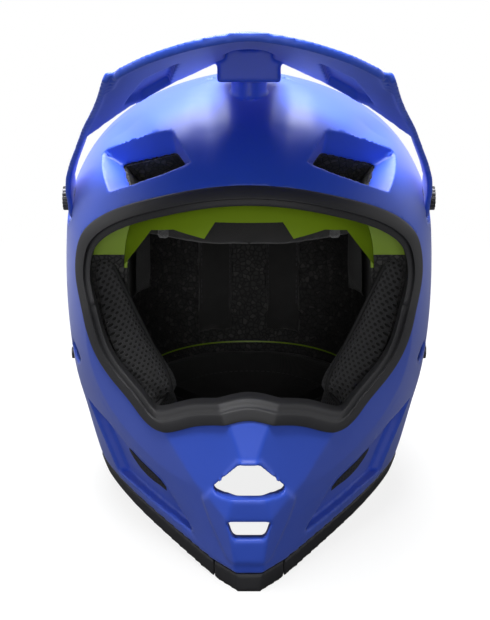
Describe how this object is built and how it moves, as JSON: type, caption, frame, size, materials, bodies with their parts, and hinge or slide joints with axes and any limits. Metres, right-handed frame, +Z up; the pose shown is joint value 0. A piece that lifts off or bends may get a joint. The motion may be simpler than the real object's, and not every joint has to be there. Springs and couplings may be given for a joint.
{
  "type": "downhill bike full-face helmet",
  "caption": "Full-face downhill bike helmet with a tilting visor, thumb screws, foam and slip liners, pads and a ringed chin strap.",
  "frame": {"origin": "middle of the bottom of the helmet's box, on the plane that the rear rim rests on", "axes": "+Z up, -Y where the wearer looks, +X to the wearer's left"},
  "size_m": [0.2398, 0.3434, 0.319],
  "materials": {
    "blue_paint": "matte",
    "black_rubber": "matte",
    "dark_foam": "matte",
    "lime_plastic": "satin",
    "black_fabric": "matte",
    "black_mesh": "matte",
    "black_webbing": "matte",
    "black_anodised": "satin",
    "bright_steel": "polished",
    "brass_insert": "satin",
    "black_nylon": "satin",
    "lime_elastomer": "matte"
  },
  "bodies": {
    "shell": {"outer_shell": "blue_paint", "pivot_insert_left": "brass_insert", "pivot_insert_right": "brass_insert", "crown_insert": "brass_insert", "face_trim": "black_rubber", "nose_trim": "black_rubber", "rim_trim_left": "black_rubber", "rim_trim_right": "black_rubber", "nape_trim": "black_rubber", "head_foam": "dark_foam", "chin_foam": "dark_foam", "slip_liner": "lime_plastic", "slip_anchors": "lime_elastomer", "brow_pad": "black_fabric", "crown_pad_left": "black_fabric", "crown_pad_right": "black_fabric", "side_pad_left": "black_fabric", "side_pad_right": "black_fabric", "cheek_pad_left": "black_mesh", "cheek_pad_right": "black_mesh", "cheek_snaps_left": "black_nylon", "cheek_snaps_right": "black_nylon", "neck_roll": "black_fabric", "strap_left": "black_webbing", "strap_right": "black_webbing", "strap_rivet_left": "bright_steel", "strap_rivet_right": "bright_steel"},
    "visor": {"visor": "blue_paint"},
    "visor_screw_left": {"visor_screw_left": "black_anodised"},
    "visor_screw_right": {"visor_screw_right": "black_anodised"},
    "crown_screw": {"crown_screw": "black_anodised"},
    "ring_end": {"ring_end": "bright_steel"},
    "ring_back": {"ring_back": "bright_steel"}
  },
  "joints": [
    {"name": "visor_tilt", "type": "hinge", "parent": "shell", "child": "visor", "pos_m": [0, -0.0215, 0.205], "axis": [1, 0, 0], "range_deg": [-6, 10]},
    {"name": "side_screw_left_turn", "type": "hinge", "parent": "shell", "child": "visor_screw_left", "pos_m": [0.1127, -0.0215, 0.205], "axis": [1, 0, 0], "continuous": true},
    {"name": "side_screw_right_turn", "type": "hinge", "parent": "shell", "child": "visor_screw_right", "pos_m": [-0.1127, -0.0215, 0.205], "axis": [-1, 0, 0], "continuous": true},
    {"name": "crown_screw_turn", "type": "hinge", "parent": "shell", "child": "crown_screw", "pos_m": [0, -0.0275, 0.2891], "axis": [0, 0, 1], "continuous": true},
    {"name": "ring_end_swing", "type": "hinge", "parent": "shell", "child": "ring_end", "pos_m": [0.0151, 0.0185, 0.03952], "axis": [0, 1, 0], "range_deg": [0, 60]},
    {"name": "ring_back_swing", "type": "hinge", "parent": "shell", "child": "ring_back", "pos_m": [0.02307, 0.0185, 0.0437], "axis": [0, 1, 0], "range_deg": [-45, 0]}
  ]
}
